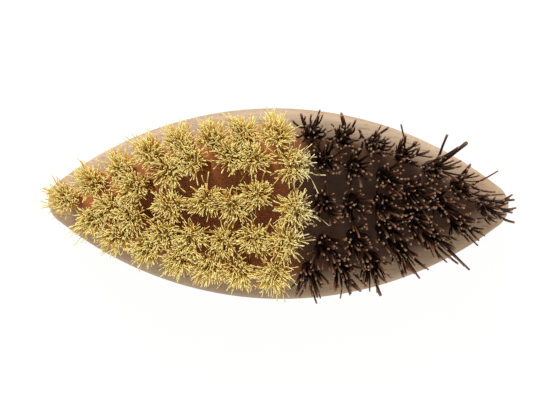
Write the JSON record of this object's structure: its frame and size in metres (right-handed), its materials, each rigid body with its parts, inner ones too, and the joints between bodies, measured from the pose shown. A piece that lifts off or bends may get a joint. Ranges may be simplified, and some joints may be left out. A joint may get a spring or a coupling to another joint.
{
  "type": "vegetable brush",
  "caption": "Pointed oval wooden hand brush for vegetables, with soft pale plant fibre on one half and stiff dark plant fibre on the other, set in fanned tufts.",
  "frame": {"origin": "middle of the block's flat back", "axes": "+X along the block towards the dark fibre, +Y across it, +Z out of the bristle face"},
  "size_m": [0.1352, 0.056, 0.0427],
  "materials": {
    "beech": "raw, sanded",
    "pale_fibre": "matt plant fibre",
    "dark_fibre": "matt plant fibre",
    "anchor_steel": "drawn wire"
  },
  "bodies": {
    "root": {"block": "beech", "wire_anchors": "anchor_steel", "tampico_tuft_outer_01": "pale_fibre", "tampico_tuft_outer_02": "pale_fibre", "tampico_tuft_outer_03": "pale_fibre", "tampico_tuft_outer_04": "pale_fibre", "tampico_tuft_outer_05": "pale_fibre", "tampico_tuft_outer_06": "pale_fibre", "tampico_tuft_outer_07": "pale_fibre", "tampico_tuft_outer_08": "pale_fibre", "tampico_tuft_outer_09": "pale_fibre", "tampico_tuft_outer_10": "pale_fibre", "tampico_tuft_outer_11": "pale_fibre", "tampico_tuft_outer_12": "pale_fibre", "tampico_tuft_outer_13": "pale_fibre", "tampico_tuft_outer_14": "pale_fibre", "tampico_tuft_outer_15": "pale_fibre", "palmyra_tuft_outer_16": "dark_fibre", "palmyra_tuft_outer_17": "dark_fibre", "palmyra_tuft_outer_18": "dark_fibre", "palmyra_tuft_outer_19": "dark_fibre", "palmyra_tuft_outer_20": "dark_fibre", "palmyra_tuft_outer_21": "dark_fibre", "palmyra_tuft_outer_22": "dark_fibre", "palmyra_tuft_outer_23": "dark_fibre", "palmyra_tuft_outer_24": "dark_fibre", "palmyra_tuft_outer_25": "dark_fibre", "palmyra_tuft_outer_26": "dark_fibre", "palmyra_tuft_outer_27": "dark_fibre", "palmyra_tuft_outer_28": "dark_fibre", "tampico_tuft_inner_01": "pale_fibre", "tampico_tuft_inner_02": "pale_fibre", "tampico_tuft_inner_03": "pale_fibre", "tampico_tuft_inner_04": "pale_fibre", "tampico_tuft_inner_05": "pale_fibre", "tampico_tuft_inner_06": "pale_fibre", "tampico_tuft_inner_07": "pale_fibre", "tampico_tuft_inner_08": "pale_fibre", "tampico_tuft_inner_09": "pale_fibre", "tampico_tuft_inner_10": "pale_fibre", "tampico_tuft_inner_11": "pale_fibre", "tampico_tuft_inner_12": "pale_fibre", "tampico_tuft_inner_13": "pale_fibre", "palmyra_tuft_inner_14": "dark_fibre", "palmyra_tuft_inner_15": "dark_fibre", "palmyra_tuft_inner_16": "dark_fibre", "palmyra_tuft_inner_17": "dark_fibre", "palmyra_tuft_inner_18": "dark_fibre", "palmyra_tuft_inner_19": "dark_fibre", "palmyra_tuft_inner_20": "dark_fibre", "palmyra_tuft_inner_21": "dark_fibre", "palmyra_tuft_inner_22": "dark_fibre", "tampico_tuft_middle_01": "pale_fibre", "tampico_tuft_middle_02": "pale_fibre", "tampico_tuft_middle_03": "pale_fibre", "tampico_tuft_middle_04": "pale_fibre", "tampico_tuft_middle_05": "pale_fibre", "palmyra_tuft_middle_06": "dark_fibre", "palmyra_tuft_middle_07": "dark_fibre", "palmyra_tuft_middle_08": "dark_fibre"}
  },
  "joints": []
}
